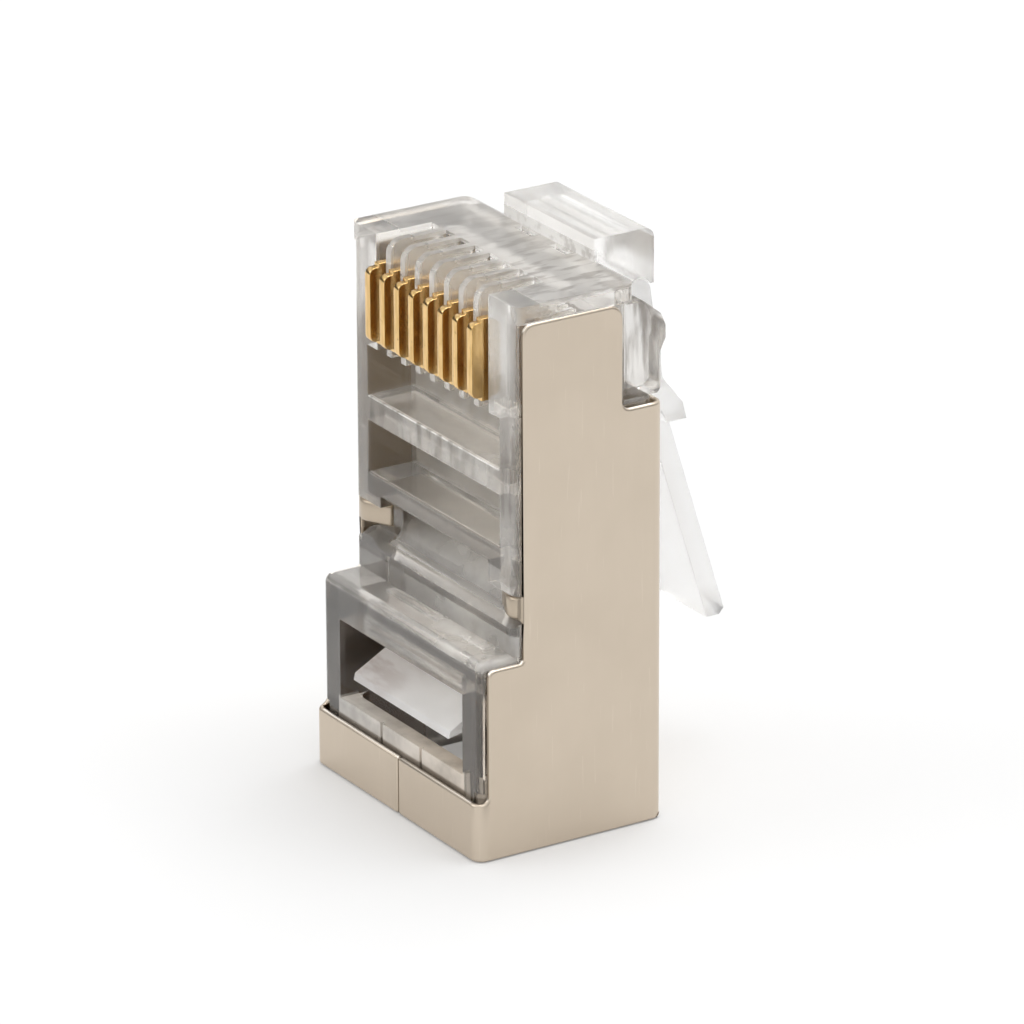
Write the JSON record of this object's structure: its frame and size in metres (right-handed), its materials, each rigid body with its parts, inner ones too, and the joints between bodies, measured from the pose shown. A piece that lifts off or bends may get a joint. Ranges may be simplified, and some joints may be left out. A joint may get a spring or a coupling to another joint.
{
  "type": "rj45 modular plug",
  "caption": "Shielded clear modular plug with gold plated contact blades, a folded metal shield, a latch lever and a fold-in strain relief bar, as supplied before crimping.",
  "frame": {"origin": "centre of the cable entry, in the plane of the cable end", "axes": "+Z from the cable end to the nose, -Y the contact side, +Y the latch side, X along the row of contacts"},
  "size_m": [0.0116, 0.0137, 0.0225],
  "materials": {
    "clear_polycarbonate": "clear, moulded, glossy",
    "frosted_polycarbonate": "clear, with frosted faces",
    "nickel_plate": "satin nickel plate, warm grey",
    "gold_plate": "bright gold plate"
  },
  "bodies": {
    "plug": {"plug_body": "clear_polycarbonate", "shield": "nickel_plate"},
    "latch": {"latch_lever": "frosted_polycarbonate"},
    "strain_relief": {"strain_relief_bar": "frosted_polycarbonate"},
    "blade_1": {"contact_1": "gold_plate"},
    "blade_2": {"contact_2": "gold_plate"},
    "blade_3": {"contact_3": "gold_plate"},
    "blade_4": {"contact_4": "gold_plate"},
    "blade_5": {"contact_5": "gold_plate"},
    "blade_6": {"contact_6": "gold_plate"},
    "blade_7": {"contact_7": "gold_plate"},
    "blade_8": {"contact_8": "gold_plate"}
  },
  "joints": [
    {"name": "latch_hinge", "type": "hinge", "parent": "plug", "child": "latch", "pos_m": [0, 0.00485, 0.01995], "axis": [-1, 0, 0], "range_deg": [0, 12], "stiffness_Nm_per_rad": 0.08},
    {"name": "strain_relief_hinge", "type": "hinge", "parent": "plug", "child": "strain_relief", "pos_m": [0, -0.0019, 0.00627], "axis": [1, 0, 0], "range_deg": [0, 28]},
    {"name": "contact_1_crimp", "type": "slide", "parent": "plug", "child": "blade_1", "axis": [0, 1, 0], "range_m": [0, 0.0011]},
    {"name": "contact_2_crimp", "type": "slide", "parent": "plug", "child": "blade_2", "axis": [0, 1, 0], "range_m": [0, 0.0011]},
    {"name": "contact_3_crimp", "type": "slide", "parent": "plug", "child": "blade_3", "axis": [0, 1, 0], "range_m": [0, 0.0011]},
    {"name": "contact_4_crimp", "type": "slide", "parent": "plug", "child": "blade_4", "axis": [0, 1, 0], "range_m": [0, 0.0011]},
    {"name": "contact_5_crimp", "type": "slide", "parent": "plug", "child": "blade_5", "axis": [0, 1, 0], "range_m": [0, 0.0011]},
    {"name": "contact_6_crimp", "type": "slide", "parent": "plug", "child": "blade_6", "axis": [0, 1, 0], "range_m": [0, 0.0011]},
    {"name": "contact_7_crimp", "type": "slide", "parent": "plug", "child": "blade_7", "axis": [0, 1, 0], "range_m": [0, 0.0011]},
    {"name": "contact_8_crimp", "type": "slide", "parent": "plug", "child": "blade_8", "axis": [0, 1, 0], "range_m": [0, 0.0011]}
  ]
}
